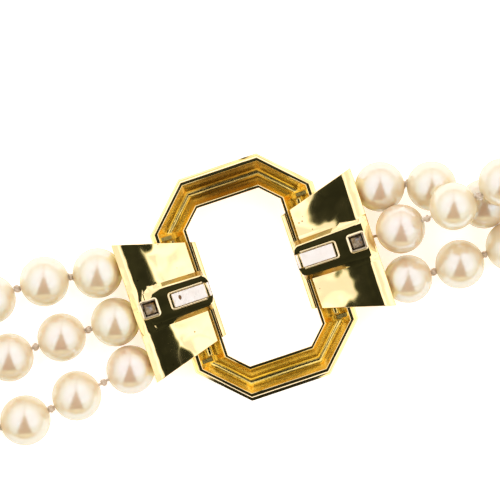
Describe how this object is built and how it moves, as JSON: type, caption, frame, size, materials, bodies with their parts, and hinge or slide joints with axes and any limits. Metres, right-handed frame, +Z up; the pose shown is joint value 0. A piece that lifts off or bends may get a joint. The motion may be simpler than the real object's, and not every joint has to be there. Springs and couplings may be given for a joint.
{
  "type": "multi-strand pearl necklace",
  "caption": "Knotted pearl strands in a closed loop, joined by fan-shaped gold terminals and an octagonal gold link; lies flat, back of the clasp upwards.",
  "frame": {"origin": "middle of the necklace's outline, on the surface that it lies on", "axes": "+X along the clasp, from its left terminal to its right one; +Y from the loop's far side to the clasp; +Z up, out of the back of the clasp"},
  "size_m": [0.1884, 0.1334, 0.0132],
  "materials": {
    "yellow_gold": "polished 18 ct yellow gold with fine wear scratches",
    "white_gold": "white gold, finely brushed",
    "stone": "square-cut clear stone seen from behind, grey-violet",
    "pearl": "cream nacre with a rose overtone, high lustre",
    "silk": "twisted cream silk, knotted between the pearls"
  },
  "bodies": {
    "necklace": {"octagonal_link": "yellow_gold", "right_terminal": "yellow_gold", "right_stone": "stone", "left_terminal": "yellow_gold", "left_stone": "stone", "outer_right_pearl_1": "pearl", "outer_right_pearl_2": "pearl", "outer_right_pearl_3": "pearl", "outer_right_pearl_4": "pearl", "outer_right_pearl_5": "pearl", "outer_right_pearl_6": "pearl", "outer_right_silk": "silk", "outer_left_pearl_1": "pearl", "outer_left_pearl_2": "pearl", "outer_left_pearl_3": "pearl", "outer_left_pearl_4": "pearl", "outer_left_pearl_5": "pearl", "outer_left_pearl_6": "pearl", "outer_left_silk": "silk", "outer_string_1": "pearl", "outer_string_2": "pearl", "outer_string_3": "pearl", "middle_right_pearl_1": "pearl", "middle_right_pearl_2": "pearl", "middle_right_pearl_3": "pearl", "middle_right_pearl_4": "pearl", "middle_right_pearl_5": "pearl", "middle_right_pearl_6": "pearl", "middle_right_silk": "silk", "middle_left_pearl_1": "pearl", "middle_left_pearl_2": "pearl", "middle_left_pearl_3": "pearl", "middle_left_pearl_4": "pearl", "middle_left_pearl_5": "pearl", "middle_left_pearl_6": "pearl", "middle_left_silk": "silk", "middle_string_1": "pearl", "middle_string_2": "pearl", "middle_string_3": "pearl", "inner_right_pearl_1": "pearl", "inner_right_pearl_2": "pearl", "inner_right_pearl_3": "pearl", "inner_right_pearl_4": "pearl", "inner_right_pearl_5": "pearl", "inner_right_pearl_6": "pearl", "inner_right_silk": "silk", "inner_left_pearl_1": "pearl", "inner_left_pearl_2": "pearl", "inner_left_pearl_3": "pearl", "inner_left_pearl_4": "pearl", "inner_left_pearl_5": "pearl", "inner_left_pearl_6": "pearl", "inner_left_silk": "silk", "inner_string_1": "pearl", "inner_string_2": "pearl", "inner_string_3": "pearl"},
    "right_release": {"right_tongue": "white_gold"},
    "left_release": {"left_tongue": "white_gold"}
  },
  "joints": [
    {"name": "right_tongue_press", "type": "hinge", "parent": "necklace", "child": "right_release", "pos_m": [0.0118, 0.0501, 0.00688], "axis": [0, -1, 0], "range_deg": [0, 8], "stiffness_Nm_per_rad": 0.02},
    {"name": "left_tongue_press", "type": "hinge", "parent": "necklace", "child": "left_release", "pos_m": [-0.0118, 0.05045, 0.00688], "axis": [0, 1, 0], "range_deg": [0, 8], "stiffness_Nm_per_rad": 0.02}
  ]
}
